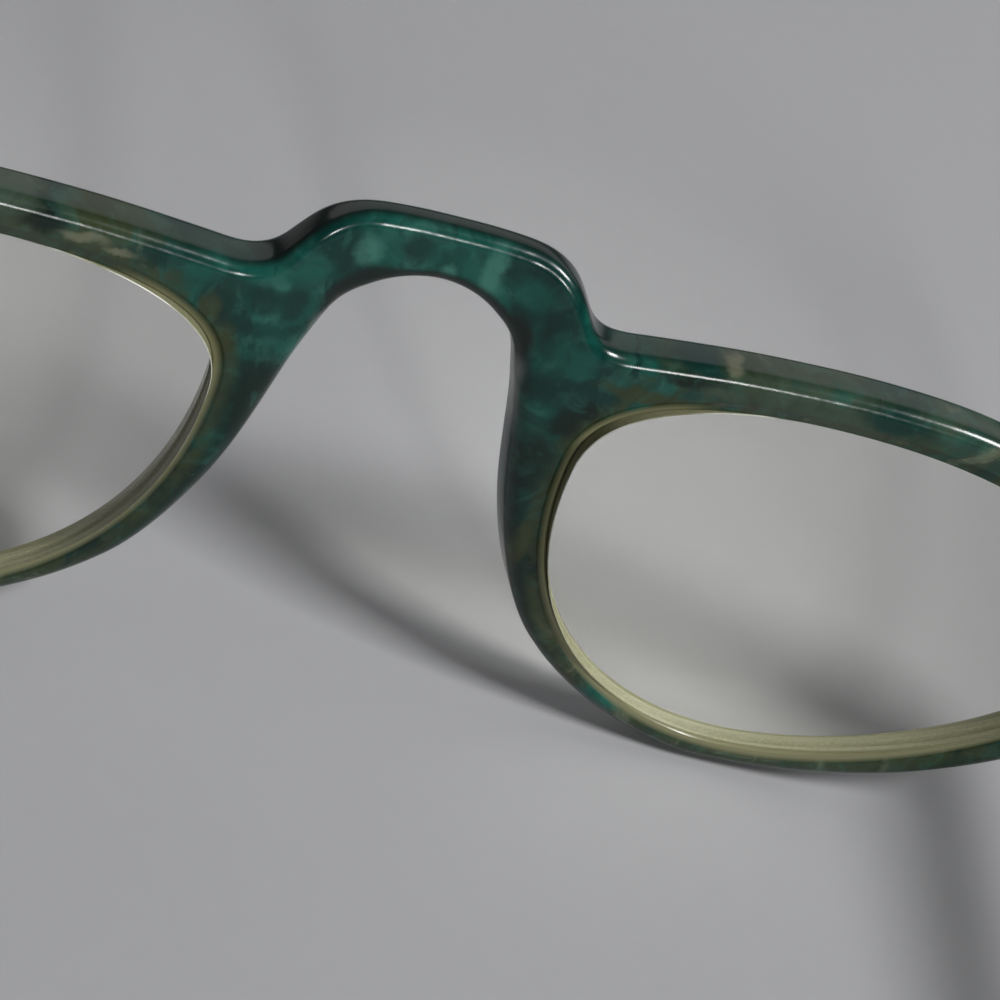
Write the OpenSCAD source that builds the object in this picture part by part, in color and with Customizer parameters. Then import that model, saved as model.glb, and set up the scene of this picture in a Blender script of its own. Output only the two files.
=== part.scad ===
// Half-eye reading glasses: acetate front, two lenses, riveted five-knuckle hinges and wire-cored temples.
// Millimetres, with the wearer's left at +X. The front is drawn upright with its outer face toward -Y,
// then leaned as it stands on a table.

/* [Lens shape] */
// Width of one lens shape, box system
lens_w = 43.9; // [40:0.1:48]
// Height of one lens shape, box system
lens_h = 30.2; // [26:0.1:34]
// Distance between the two lens shapes
bridge_w = 23; // [20:0.1:26]
// Place of the highest point across the lens shape, from the nose side
top_at = 0.45; // [0.35:0.01:0.6]
// Place of the lowest point across the lens shape, from the nose side
bottom_at = 0.44; // [0.35:0.01:0.6]
// Height of the innermost point, as a share of the half height
nasal_at = 0.43; // [0.1:0.01:0.6]
// Height of the outermost point, as a share of the half height
outer_at = 0.19; // [0:0.01:0.5]

/* [Front] */
// Thickness of the acetate plate
front_t = 3.6; // [3.2:0.1:4.2]
// Radius of the face curve
face_r = 360; // [280:10:600]
// Height of the rim above the lens shape
rim_top = 2.1; // [1.7:0.1:3]
// Height of the rim below the lens shape
rim_bottom = 1.25; // [1.1:0.05:2.4]
// Rounding of the rear edges
rear_round = 1.05; // [0.5:0.05:1.2]
// Rounding of the front edges
front_round = 0.85; // [0.4:0.05:1.1]
// Depth of the lip that holds the lens in
lip = 0.65; // [0.5:0.05:0.8]
// Half width of the lens groove at its mouth
groove_half = 0.6; // [0.5:0.02:0.65]
// How far the groove moves back at the sides of the lens
groove_shift = 0.5; // [0.3:0.05:0.6]
// Extra slant of the nose flanks from front to rear
flank_slant = 0.9; // [0:0.1:1.2]

/* [Bridge] */
// Height of the bridge above the lens centre line
bridge_z = 20.85; // [19.5:0.05:22]
// Height of the bridge bar at its middle
bridge_bar = 3.75; // [3.2:0.05:5]
// Height of the dip between bridge and rim
valley_z = 15.6; // [15:0.05:16.5]
// Half width of the nose arch at its shoulder
arch_half = 6.15; // [5.4:0.05:7]
// How far the rear of the bridge lies ahead of the rims
bridge_recess = 1.25; // [0.4:0.05:1.5]

/* [Lens] */
// Thickness of the lens at its centre
lens_t = 3.3; // [3:0.1:3.8]
// Radius of the outer lens surface
lens_r1 = 85; // [78:1:100]
// Radius of the inner lens surface
lens_r2 = 104; // [96:1:130]
// Gap between lens edge and groove
lens_gap = 0.07; // [0.05:0.01:0.1]

/* [End piece and hinge] */
// Width of the end piece beyond the lens shape
end_w = 11.6; // [11.2:0.1:13]
// Height of the hinge above the lens centre line
hinge_z = 8.4; // [7:0.1:9.5]
// Height of the end piece
end_h = 8.8; // [8.4:0.1:10]
// Diameter of the hinge knuckles
knuckle_d = 2.8; // [2.6:0.1:3]
// Height of one hinge knuckle
knuckle_h = 1.14; // [1:0.02:1.3]
// Gap between two knuckles
knuckle_gap = 0.06; // [0.04:0.01:0.12]
// Diameter of the hinge screw
screw_d = 1.4; // [1.2:0.1:1.5]
// Diameter of the rivets
rivet_d = 1.2; // [1:0.1:1.3]

/* [Temples] */
// Straight length from the hinge to the ear bend
shaft_len = 92; // [80:1:100]
// Height of the temple at the hinge
root_h = 8.4; // [7.6:0.1:9]
// Height of the temple at the ear bend
bend_h = 5; // [4:0.1:6.5]
// Height of the paddle behind the ear
paddle_h = 8.2; // [6.5:0.1:9.5]
// Thickness of the temple at the hinge
temple_t = 3.5; // [3.3:0.1:4]
// Thickness of the temple at its tip
tip_t = 2.6; // [2.3:0.1:3]
// Radius of the ear bend
bend_r = 28; // [20:1:40]
// Angle of the ear bend
bend_angle = 34; // [28:1:42]
// Diameter of the core wire
wire_d = 1.4; // [1:0.1:1.5]

/* [Stance] */
// Lean of the front when it stands on a table
lean = 9; // [6:0.5:11]

/* [Hidden] */
$fn = 48;
acetate = [0.16, 0.34, 0.30];
clear = [0.85, 0.9, 0.88, 0.5];
steel = [0.75, 0.76, 0.78];

eye_steps = 16;
half_w = lens_w / 2;
half_h = lens_h / 2;
nose_x = bridge_w / 2;
temple_x = nose_x + lens_w;
half_front = temple_x + end_w;
top_x = nose_x + lens_w * top_at;
low_x = nose_x + lens_w * bottom_at;
nasal_z = half_h * nasal_at;
outer_z = half_h * outer_at;

function mix(a, b, t) = a + (b - a) * t;
function smooth(a, b, x) = let (t = min(1, max(0, (x - a) / (b - a)))) t * t * (3 - 2 * t);
function bez(p, t) = let (u = 1 - t)
    u * u * u * p[0] + 3 * t * u * u * p[1] + 3 * t * t * u * p[2] + t * t * t * p[3];
function unit(v) = v / max(norm(v), 1e-9);

// Lens shape: four curves between its highest, innermost, lowest and outermost points
eye_curves = [
    [[top_x, half_h], [top_x - 0.96 * (top_x - nose_x), half_h],
        [nose_x, nasal_z + 0.33 * (half_h - nasal_z)], [nose_x, nasal_z]],
    [[nose_x, nasal_z], [nose_x, nasal_z - 0.60 * (nasal_z + half_h)],
        [low_x - 0.54 * (low_x - nose_x), -half_h], [low_x, -half_h]],
    [[low_x, -half_h], [low_x + 0.47 * (temple_x - low_x), -half_h],
        [temple_x, outer_z - 0.44 * (outer_z + half_h)], [temple_x, outer_z]],
    [[temple_x, outer_z], [temple_x, outer_z + 0.56 * (half_h - outer_z)],
        [top_x + 0.58 * (temple_x - top_x), half_h], [top_x, half_h]]];
eye = [for (c = eye_curves) for (i = [0 : eye_steps - 1]) bez(c, i / eye_steps)];
eye_n = len(eye);
// Outward directions along the lens shape
eye_out = [for (i = [0 : eye_n - 1])
    let (d = unit(eye[(i + 1) % eye_n] - eye[(i + eye_n - 1) % eye_n])) [d[1], -d[0]]];

// Face curve of the front
function face(x) = face_r - sqrt(face_r * face_r - x * x);

// Outline of the front, right half, through a few points from the middle to the end piece
end_top = hinge_z + end_h / 2;
end_low = hinge_z - end_h / 2;
top_pts = [[-2.7, bridge_z - 0.1], [0, bridge_z], [2.7, bridge_z - 0.1], [5.5, bridge_z - 0.5],
    [7.6, bridge_z - 1.6], [9.2, mix(valley_z, bridge_z, 0.37)], [10.3, mix(valley_z, bridge_z, 0.1)],
    [12.2, valley_z], [15, valley_z + 0.32], [top_x - 9, half_h + rim_top - 0.42],
    [top_x, half_h + rim_top + 0.1],
    [top_x + 8, half_h + rim_top - 0.32], [temple_x - 7, mix(end_top, half_h + rim_top, 0.45)],
    [temple_x + 1, end_top + 0.35], [half_front - 6, end_top], [half_front - 2.4, end_top],
    [half_front + 1, end_top]];
arch_z = bridge_z - bridge_bar;
// Width of the rim outside the lens shape, from the nose round the bottom to the temple
function nose_rim(t) = mix(3.35, rim_bottom, smooth(-0.15, 0.68, t));
function outer_rim(t) = rim_bottom + 1.1 * smooth(0.08, 0.62, t);
function rim_point(i, w) = eye[i] + eye_out[i] * w;
low_pts = concat([[-2.6, arch_z - 0.5], [0, arch_z], [2.6, arch_z - 0.5], [4.8, arch_z - 1.75],
    [arch_half - 0.3, arch_z - 3.2], [arch_half + 0.5, arch_z - 5.9], [nose_x - 4.1, nasal_z + 2.6]],
    [for (t = [0.14, 0.32, 0.5, 0.68, 0.86]) rim_point(round((1 + t) * eye_steps), nose_rim(t))],
    [for (t = [0, 0.18, 0.36, 0.54, 0.7]) rim_point(round((2 + t) * eye_steps), outer_rim(t))],
    [[temple_x + 1.15, mix(-half_h, end_low, 0.64)], [temple_x + 2.5, end_low - 2],
    [temple_x + 4, end_low - 0.35], [half_front - 5.6, end_low], [half_front - 2.4, end_low],
    [half_front + 1, end_low]]);

function spline(p, k) = [for (i = [1 : len(p) - 3]) for (j = [0 : k - 1]) let (t = j / k,
    a = p[i - 1], b = p[i], c = p[i + 1], d = p[i + 2])
    0.5 * (2 * b + (c - a) * t + (2 * a - 5 * b + 4 * c - d) * t * t + (3 * b - a - 3 * c + d) * t * t * t)];
top_line = concat(spline(top_pts, 10), [top_pts[len(top_pts) - 2]]);
low_line = concat(spline(low_pts, 10), [low_pts[len(low_pts) - 2]]);
corner = 2.4;
function corner_drop(x) = let (u = max(0, x - (half_front - corner)))
    corner - sqrt(max(0, corner * corner - u * u));
function top_z(x) = lookup(min(x, half_front - corner), top_line) - corner_drop(x);
function low_z(x) = lookup(min(x, half_front - corner), low_line) + corner_drop(x);

// Stations across the half front, closer together where the outline is steep
function span(a, b, n) = [for (i = [0 : n - 1]) mix(a, b, i / n)];
bends = [0, arch_half - 1.35, arch_half + 1.45, nose_x + 1.1, top_x - 1.3, temple_x - 9.4, temple_x - 0.4,
    temple_x + 5, half_front - corner];
steps_between = [5, 11, 12, 13, 9, 8, 10, 2];
stations = concat([for (i = [0 : 7]) each span(bends[i], bends[i + 1], steps_between[i])],
    [for (a = [0 : 18 : 72]) half_front - corner + corner * sin(a)], [half_front - 0.03]);
count = len(stations);
rim_line = concat([for (i = [count - 1 : -1 : 1]) [-stations[i], top_z(stations[i])]],
    [for (i = [0 : count - 1]) [stations[i], top_z(stations[i])]],
    [for (i = [count - 1 : -1 : 0]) [stations[i], low_z(stations[i])]],
    [for (i = [1 : count - 1]) [-stations[i], low_z(stations[i])]]);
rim_n = len(rim_line);
top_n = 2 * count - 1;
// Directions into the acetate along the outline
rim_in = [for (i = [0 : rim_n - 1])
    let (d = unit(rim_line[(i + 1) % rim_n] - rim_line[(i + rim_n - 1) % rim_n])) [d[1], -d[0]]];

// Rear and front surfaces of the plate
seat_y = face(half_front) + front_t / 2 + 0.4;
function rear_y(x) = mix(face(x) + front_t / 2 - bridge_recess * (1 - smooth(4.6, 10.6, abs(x))), seat_y,
    smooth(temple_x + 0.8, temple_x + 2.5, abs(x)));
function front_y(x) = face(x) - front_t / 2;
function slant(i) = i < top_n ? 0 : let (x = abs(rim_line[i][0]))
    flank_slant * smooth(5.4, 7.2, x) * (1 - smooth(10.5, 15, x));

function plate_point(i, inset, rear, deep) = let (share = rear ? 1 - deep / front_t : deep / front_t,
    p = rim_line[i] + rim_in[i] * (inset + slant(i) * share))
    [p[0], rear ? rear_y(p[0]) - deep : front_y(p[0]) + deep, p[1]];
function ring(inset, rear, deep) = [for (i = [0 : rim_n - 1]) plate_point(i, inset, rear, deep)];
plate_rings = concat(
    [for (a = [0 : 30 : 90]) ring(rear_round * (1 - sin(a)), true, rear_round * (1 - cos(a)))],
    [for (a = [90 : -45 : 0]) ring(front_round * (1 - sin(a)), false, front_round * (1 - cos(a)))]);

// Closed skin over a stack of rings, without its two ends
function skin(rings, n) = [for (k = [0 : rings - 2]) for (i = [0 : n - 1]) let (j = (i + 1) % n)
    each [[k * n + i, k * n + j, (k + 1) * n + j], [k * n + i, (k + 1) * n + j, (k + 1) * n + i]]];
function flip(f) = [for (t = f) [t[2], t[1], t[0]]];
// Fans that close the two ends of a stack; its last two points are the end middles
function caps(n, last, total) = [for (i = [0 : n - 1])
    each [[total - 2, (i + 1) % n, i], [total - 1, last + i, last + (i + 1) % n]]];
// Ladder between the upper and the lower half of one outline
function ladder(first) = [for (i = [0 : top_n - 2]) let (a = first + i, b = first + i + 1,
    c = first + rim_n - 1 - i, d = first + rim_n - 2 - i) each [[a, c, b], [b, c, d]]];

module plate() {
    polyhedron(points = [for (r = plate_rings) each r],
        faces = concat(skin(len(plate_rings), rim_n), ladder(0),
            flip(ladder((len(plate_rings) - 1) * rim_n))));
}

// The groove lies further back where the curved lens is far from its middle
eye_mid = [nose_x + half_w, 0, 0];
function groove_back(p) =
    groove_shift * smooth(half_h * 0.95, half_w * 0.95, norm([p[0] - eye_mid[0], p[1]]));

// A stack of lens-shaped rings: each step is [distance outside the lens shape, distance behind the plate
// middle, share of the groove's shift]
module eye_stack(steps, middle_front, middle_rear) {
    n = eye_n;
    rings = [for (s = steps) [for (i = [0 : n - 1])
        let (p = eye[i] + eye_out[i] * s[0])
        [p[0], face(p[0]) + s[1] + s[2] * groove_back(eye[i]), p[1]]]];
    pts = concat([for (r = rings) each r], [middle_rear, middle_front]);
    last = (len(steps) - 1) * n;
    polyhedron(points = pts, faces = flip(concat(skin(len(steps), n), caps(n, last, len(pts)))));
}
module opening() {
    h = front_t / 2;
    eye_stack([[0.05, h + 3.6, 0], [0.05, h, 0], [-lip * 0.62, h - 0.3, 0], [-lip, h - 0.55, 0],
        [-lip, groove_half, 1], [0.1, 0, 1], [-lip, -groove_half, 1], [-lip, 0.4 - h, 0],
        [0.3 - lip, -h, 0], [0.3 - lip, -h - 1, 0]],
        eye_mid + [0, face(eye_mid[0]) - h - 1, 0], eye_mid + [0, face(eye_mid[0]) + h + 3.6, 0]);
}

// Lens: spherical faces inside, bevelled edge in the groove
lens_slope = eye_mid[0] / sqrt(face_r * face_r - eye_mid[0] * eye_mid[0]);
function sag(r, d) = r - sqrt(r * r - d * d);
lens_front = sag(lens_r1, half_w) - sag(face_r, half_w) + groove_half - groove_shift;
function lens_y(p, rear) = let (d = norm([p[0] - eye_mid[0], p[1]]))
    face(eye_mid[0]) + lens_slope * (p[0] - eye_mid[0]) - lens_front
        + (rear ? lens_t + sag(lens_r2, d) : sag(lens_r1, d));
function lens_ring(mid, edge, s, rear) = [for (i = [0 : eye_n - 1]) let (p = mid + (edge[i] - mid) * s)
    [p[0], lens_y(p, rear), p[1]]];
module lens() {
    n = eye_n;
    body = lip + lens_gap;
    mid = [eye_mid[0], eye_mid[2]];
    shares = [0.2, 0.4, 0.6, 0.8, 1];
    edge = [for (i = [0 : n - 1]) eye[i] - eye_out[i] * body];
    tip = [for (i = [0 : n - 1]) eye[i]];
    half = groove_half - 0.08;
    rear = [for (s = shares) lens_ring(mid, edge, s, true)];
    fore = [for (k = [4 : -1 : 0]) lens_ring(mid, edge, shares[k], false)];
    function bevel_ring(p, back) = [for (i = [0 : n - 1])
        [p[i][0], face(p[i][0]) + groove_back(eye[i]) + back, p[i][1]]];
    bevel = [bevel_ring(edge, half), bevel_ring(tip, 0), bevel_ring(edge, -half)];
    rings = concat(rear, bevel, fore);
    pts = concat([for (r = rings) each r],
        [[mid[0], lens_y(mid, true), mid[1]], [mid[0], lens_y(mid, false), mid[1]]]);
    last = (len(rings) - 1) * n;
    polyhedron(points = pts, faces = flip(concat(skin(len(rings), n), caps(n, last, len(pts)))));
}

// Hinge
inner_x = half_front - 3.3;
axis_x = inner_x - knuckle_d / 2 - 0.5;
axis_y = seat_y + knuckle_d / 2 + 0.1;
pitch = knuckle_h + knuckle_gap;
hinge_h = 5 * pitch - knuckle_gap;
leaf_t = 0.9;
rivet_x = axis_x - knuckle_d / 2 - 1.5;
rivet_z = 1.75;
leaf_ahead = knuckle_d / 2 - 0.45;
temple_rivet_y = 6.2;

module at_axis() { translate([axis_x, axis_y, hinge_z]) children(); }
module knuckle(i) { translate([0, 0, -hinge_h / 2 + i * pitch]) cylinder(d = knuckle_d, h = knuckle_h); }
module front_leaf() {
    difference() {
        union() {
            translate([rivet_x - 1.25, seat_y - leaf_t, hinge_z - hinge_h / 2])
                cube([inner_x - 0.4 - rivet_x + 1.25, leaf_t, hinge_h]);
            at_axis() for (i = [0, 2, 4]) {
                knuckle(i);
                translate([-knuckle_d / 2, -(axis_y - seat_y) - leaf_t / 2, -hinge_h / 2 + i * pitch])
                    cube([knuckle_d, axis_y - seat_y + leaf_t / 2, knuckle_h]);
            }
        }
        at_axis() translate([0, 0, -hinge_h]) cylinder(d = screw_d, h = 2 * hinge_h);
        at_axis() translate([0, 0, hinge_h / 2 - 0.5]) cylinder(d = 2.1, h = 1);
        for (s = [-1, 1]) translate([rivet_x, seat_y + 1, hinge_z + s * rivet_z]) rotate([90, 0, 0])
            cylinder(d = rivet_d, h = 3);
    }
}
module screw() {
    at_axis() difference() {
        union() {
            translate([0, 0, -hinge_h / 2 + 0.1]) cylinder(d = screw_d, h = hinge_h - 0.2);
            translate([0, 0, hinge_h / 2 - 0.48]) cylinder(d = 2, h = 0.7);
        }
        translate([-1.2, -0.16, hinge_h / 2 - 0.08]) cube([2.4, 0.32, 1]);
    }
}
module rivet_pair() {
    for (s = [-1, 1]) translate([rivet_x, 0, hinge_z + s * rivet_z]) rotate([90, 0, 0]) {
        translate([0, 0, -seat_y]) cylinder(d = rivet_d, h = seat_y - front_y(rivet_x));
        translate([0, 0, -front_y(rivet_x) - 0.45]) cylinder(d = 2, h = 0.6);
    }
}
// Temple, drawn from the hinge axis along +Y with its shaft tilted back to the table's level
temple_x0 = inner_x + temple_t / 2;
stand_h = hinge_z * cos(lean) + axis_y * sin(lean) + (half_h + rim_bottom) * cos(lean) - 0.02;
tip_r = paddle_h / 2;
tip_low = tip_r * cos(bend_angle) * 0.93 + tip_r * 0.36 * sin(bend_angle) - 0.15;
tip_back = tip_r * (0.8 * cos(bend_angle) + 0.355 * sin(bend_angle));
ear_len = (stand_h - tip_low - bend_r * (1 - cos(bend_angle))) / sin(bend_angle);
bend_len = bend_r * bend_angle * PI / 180;
total_len = shaft_len + bend_len + ear_len;

// Point and direction at a distance along the temple, in the plane of its length and height
function along(s) = s < shaft_len ? [s, 0, 0]
    : s < shaft_len + bend_len ? let (a = (s - shaft_len) / bend_r * 180 / PI)
        [shaft_len + bend_r * sin(a), -bend_r * (1 - cos(a)), a]
    : let (l = s - shaft_len - bend_len, a = bend_angle)
        [shaft_len + bend_r * sin(a) + l * cos(a), -bend_r * (1 - cos(a)) - l * sin(a), a];
function temple_h(s) = mix(mix(root_h, bend_h, smooth(shaft_len * 0.04, shaft_len * 0.57, s)),
    paddle_h,
    smooth(shaft_len, total_len - 6, s));
function temple_w(s) = mix(mix(temple_t, 3.1, smooth(shaft_len * 0.15, shaft_len * 0.76, s)), tip_t,
    smooth(shaft_len, total_len, s));
round_n = 20;
// Rounded section: a square-sided oval
function oval(a, w, h) = [sign(cos(a)) * pow(abs(cos(a)), 0.55) * w / 2,
    sign(sin(a)) * pow(abs(sin(a)), 0.6) * h / 2];
function section(s, k) = let (q = along(s), w = temple_w(s) * k[0], h = temple_h(s) * k[1])
    [for (i = [0 : round_n - 1]) let (o = oval((i + 0.5) * 360 / round_n, w, h))
        [o[0], q[0] + o[1] * sin(q[2]), q[1] + o[1] * cos(q[2])]];
temple_stops = concat(span(-5, shaft_len * 0.15, 3), span(shaft_len * 0.15, shaft_len, 9),
    span(shaft_len, shaft_len + bend_len, 7), span(shaft_len + bend_len, total_len, 5));
tip_stops = [for (a = [0 : 15 : 75]) [total_len + tip_r * 0.8 * sin(a), [mix(cos(a), 1, 0.45), cos(a)]]];
temple_rings = concat([for (s = temple_stops) section(s, [1, 1])], [for (t = tip_stops) section(t[0], t[1])]);
module temple_blank() {
    n = round_n;
    last = (len(temple_rings) - 1) * n;
    q = along(total_len + tip_r * 0.82);
    pts = concat([for (r = temple_rings) each r], [[0, -5, 0], [0, q[0], q[1]]]);
    polyhedron(points = pts, faces = concat(skin(len(temple_rings), n), caps(n, last, len(pts))));
}
// Core wire: a round section carried along the middle of the temple
wire_end = total_len - 8;
wire_n = 12;
module wire(d, start, finish) {
    n = wire_n;
    stops = concat([start, shaft_len * 0.33, shaft_len * 0.67], span(shaft_len, shaft_len + bend_len, 6),
        [shaft_len + bend_len, finish]);
    rings = [for (s = stops) let (q = along(s)) [for (i = [0 : n - 1]) let (a = i * 360 / n)
        [cos(a) * d / 2, q[0] + sin(a) * d / 2 * sin(q[2]), q[1] + sin(a) * d / 2 * cos(q[2])]]];
    a = along(start);
    b = along(finish);
    pts = concat([for (r = rings) each r], [[0, a[0], a[1]], [0, b[0], b[1]]]);
    polyhedron(points = pts, faces = concat(skin(len(rings), n), caps(n, (len(rings) - 1) * n, len(pts))));
}
module on_temple() { translate([temple_x0, axis_y, hinge_z]) rotate([-lean, 0, 0]) children(); }
module leaf_plate(extra) {
    translate([-temple_t / 2 - extra, -leaf_ahead, -2.8 - extra * 0.02])
        cube([leaf_t + extra, 9.25 + leaf_ahead, 5.6 + extra * 0.04]);
}
module temple() {
    difference() {
        on_temple() temple_blank();
        translate([temple_x0 - 10, axis_y - 20, hinge_z - 20]) cube([20, 20 - (axis_y - seat_y) + 0.12, 40]);
        on_temple() wire(wire_d + 0.08, -6, wire_end + 0.04);
        on_temple() leaf_plate(1);
        temple_rivet_holes(rivet_d, 2.04);
    }
}
module temple_rivet_holes(d, head) {
    on_temple() for (s = [-1, 1]) translate([-temple_t / 2, temple_rivet_y, s * rivet_z]) rotate([0, 90, 0]) {
        cylinder(d = d, h = temple_t);
        translate([0, 0, temple_t - 0.5]) cylinder(d = head, h = 1.5);
    }
}
module temple_rivets() {
    on_temple() for (s = [-1, 1]) translate([-temple_t / 2, temple_rivet_y, s * rivet_z]) rotate([0, 90, 0]) {
        cylinder(d = rivet_d, h = temple_t);
        translate([0, 0, temple_t - 0.5]) cylinder(d = 2, h = 0.58);
    }
}
module temple_leaf() {
    difference() {
        union() {
            on_temple() leaf_plate(0);
            at_axis() for (i = [1, 3]) {
                knuckle(i);
                translate([0, -knuckle_d / 2 + 0.15, -hinge_h / 2 + i * pitch])
                    cube([inner_x - axis_x + leaf_t * 0.6, knuckle_d - 0.3, knuckle_h]);
            }
        }
        at_axis() translate([0, 0, -hinge_h]) cylinder(d = screw_d + 0.1, h = 2 * hinge_h);
        on_temple() for (s = [-1, 1]) translate([-temple_t / 2 - 1, temple_rivet_y, s * rivet_z])
            rotate([0, 90, 0]) cylinder(d = rivet_d, h = 3);
    }
}
module core_wire() { on_temple() wire(wire_d, 1.2, wire_end); }

// The whole front leans as it stands; lower rims and temple tips come down to z = 0, with the origin in
// the middle
lift = (half_h + rim_bottom) * cos(lean) - 0.02;
front_most = -front_t / 2 * cos(lean) - (bridge_z - 0.85) * sin(lean);
rear_most = axis_y * cos(lean) - hinge_z * sin(lean) + along(total_len)[0] + tip_back;
module stand() { translate([0, -(front_most + rear_most) / 2, lift]) rotate([lean, 0, 0]) children(); }
module other() { mirror([1, 0, 0]) children(); }

module front() {
    color(acetate) stand() difference() {
        plate();
        opening();
        other() opening();
        for (m = [0, 1]) mirror([m, 0, 0]) {
            translate([rivet_x - 1.25, seat_y - leaf_t, hinge_z - hinge_h / 2])
                cube([inner_x - 0.4 - rivet_x + 1.25, leaf_t + 1, hinge_h]);
            for (s = [-1, 1]) translate([rivet_x, 0, hinge_z + s * rivet_z]) rotate([90, 0, 0]) {
                translate([0, 0, -seat_y - 1]) cylinder(d = rivet_d, h = seat_y + 2);
                translate([0, 0, -front_y(rivet_x) - 0.45]) cylinder(d = 2.04, h = 2);
            }
        }
    }
}
module lens_left() { color(clear) stand() lens(); }
module lens_right() { color(clear) stand() other() lens(); }
module front_rivets() { color(steel) stand() { rivet_pair(); other() rivet_pair(); } }
module front_hinge_left() { color(steel) stand() front_leaf(); }
module front_hinge_right() { color(steel) stand() other() front_leaf(); }
module hinge_screw_left() { color(steel) stand() screw(); }
module hinge_screw_right() { color(steel) stand() other() screw(); }
module temple_left() { color(acetate) stand() temple(); }
module temple_right() { color(acetate) stand() other() temple(); }
module core_wire_left() { color(steel) stand() core_wire(); }
module core_wire_right() { color(steel) stand() other() core_wire(); }
module temple_hinge_left() { color(steel) stand() temple_leaf(); }
module temple_hinge_right() { color(steel) stand() other() temple_leaf(); }
module temple_rivets_left() { color(steel) stand() temple_rivets(); }
module temple_rivets_right() { color(steel) stand() other() temple_rivets(); }

front();
lens_right();
lens_left();
front_rivets();
front_hinge_right();
front_hinge_left();
hinge_screw_right();
hinge_screw_left();
temple_right();
temple_left();
core_wire_right();
core_wire_left();
temple_hinge_right();
temple_hinge_left();
temple_rivets_right();
temple_rivets_left();
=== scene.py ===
"""Half-eye reading glasses in marbled acetate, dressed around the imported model."""

from math import copysign, cos, pi, radians, sin, sqrt

import bmesh
import bpy
from bpy.props import FloatProperty, FloatVectorProperty, PointerProperty
from mathutils import Matrix, Quaternion, Vector
from mathutils.kdtree import KDTree


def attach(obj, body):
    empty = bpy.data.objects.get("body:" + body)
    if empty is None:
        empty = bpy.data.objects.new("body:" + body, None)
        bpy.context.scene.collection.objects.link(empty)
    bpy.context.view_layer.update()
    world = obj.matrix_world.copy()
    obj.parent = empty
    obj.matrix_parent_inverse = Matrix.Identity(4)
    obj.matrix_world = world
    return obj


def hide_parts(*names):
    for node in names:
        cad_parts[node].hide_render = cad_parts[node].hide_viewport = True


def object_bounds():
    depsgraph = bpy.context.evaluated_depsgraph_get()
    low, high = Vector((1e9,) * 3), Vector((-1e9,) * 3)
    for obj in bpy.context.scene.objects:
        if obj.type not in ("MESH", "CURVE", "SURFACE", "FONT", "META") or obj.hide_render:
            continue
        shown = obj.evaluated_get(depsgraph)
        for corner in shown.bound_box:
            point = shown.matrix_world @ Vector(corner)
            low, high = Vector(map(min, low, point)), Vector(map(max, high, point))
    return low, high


bl_info = {
    "name": "Half-eye reading glasses",
    "version": (1, 0, 0),
    "blender": (4, 5, 0),
    "location": "3D View > Sidebar > Glasses",
    "description": "Builds a marbled acetate front, its lenses and temples around the packed hinges",
    "category": "Object",
}

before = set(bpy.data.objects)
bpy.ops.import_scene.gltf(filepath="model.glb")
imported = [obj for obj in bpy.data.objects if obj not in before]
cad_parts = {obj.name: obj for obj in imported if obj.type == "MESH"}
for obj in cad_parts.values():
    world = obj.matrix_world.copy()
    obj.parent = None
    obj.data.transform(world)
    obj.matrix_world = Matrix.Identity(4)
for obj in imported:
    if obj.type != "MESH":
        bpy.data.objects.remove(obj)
cad_low, cad_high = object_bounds()

MM = 0.001
LEFT = 1
RIGHT = -1
SIDE_NAMES = {LEFT: "left", RIGHT: "right"}
METAL_NODES = [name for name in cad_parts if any(word in name for word in ("hinge", "rivets", "wire"))]

# Points nearer than this are joined, and edges shorter than this are taken out, in millimetres
SAME_POINT = 0.002
SHORTEST_EDGE = 0.0005
# Edges bent more than this are drawn sharp
SHARP = radians(32)
# Steps of a quarter turn at the corners of the end pieces and at the temples' tips
CORNER_STEPS = 10
# The turn round a lens shape, one for each of its four curves
FULL_TURN = 4
# How much light bends in acetate and in the lenses
REFRACTION = 1.5


def length(name, description, default):
    """A size in metres for the panel, from millimetres."""
    return FloatProperty(name=name, description=description, default=default * MM, precision=5,
                         unit="LENGTH")


def turn(name, description, default):
    """An angle for the panel, from degrees."""
    return FloatProperty(name=name, description=description, default=radians(default), subtype="ANGLE")


def colour(name, description, default):
    """A colour for the panel."""
    return FloatVectorProperty(name=name, description=description, default=default, size=3, min=0, max=1,
                               subtype="COLOR")


class FrontSizes(bpy.types.PropertyGroup):
    """Sizes of the acetate front."""
    lens_width: length("Lens width", "Width of one lens shape", 43.9)
    lens_height: length("Lens height", "Height of one lens shape", 30.2)
    bridge_width: length("Bridge width", "Distance between the two lens shapes", 23)
    thickness: length("Thickness", "Thickness of the acetate plate", 3.6)
    face_radius: length("Face curve", "Radius that the front is bent to", 360)
    rim_top: length("Upper rim", "Height of the rim above the lens shape", 2.1)
    rim_bottom: length("Lower rim", "Height of the rim below the lens shape", 1.25)
    rear_round: length("Rear rounding", "Rounding of the rear edges", 1.05)
    front_round: length("Front rounding", "Rounding of the front edges", 0.85)
    lip: length("Lip", "Depth of the lip that holds the lens in", 0.65)
    groove: length("Groove", "Half width of the lens groove", 0.6)
    groove_shift: length("Groove shift", "How far the groove moves back at the sides of the lens", 0.5)
    flank_slant: length("Flank slant", "Extra slant of the nose flanks", 0.5)
    bridge_height: length("Bridge height", "Height of the bridge above the lens middle", 20.85)
    bridge_bar: length("Bridge bar", "Height of the bridge bar", 3.75)
    valley: length("Dip", "Height of the dip between bridge and rim", 15.6)
    arch: length("Arch", "Half width of the nose arch", 6.15)
    bridge_recess: length("Bridge recess", "How far the bridge's rear lies ahead of the rims", 1.25)
    end_width: length("End piece", "Width of the end piece beyond the lens shape", 11.6)
    end_height: length("End height", "Height of the end piece", 8.8)
    hinge_height: length("Hinge height", "Height of the hinge above the lens middle", 8.4)
    lean: turn("Lean", "Lean of the front as it stands", 9)


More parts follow.
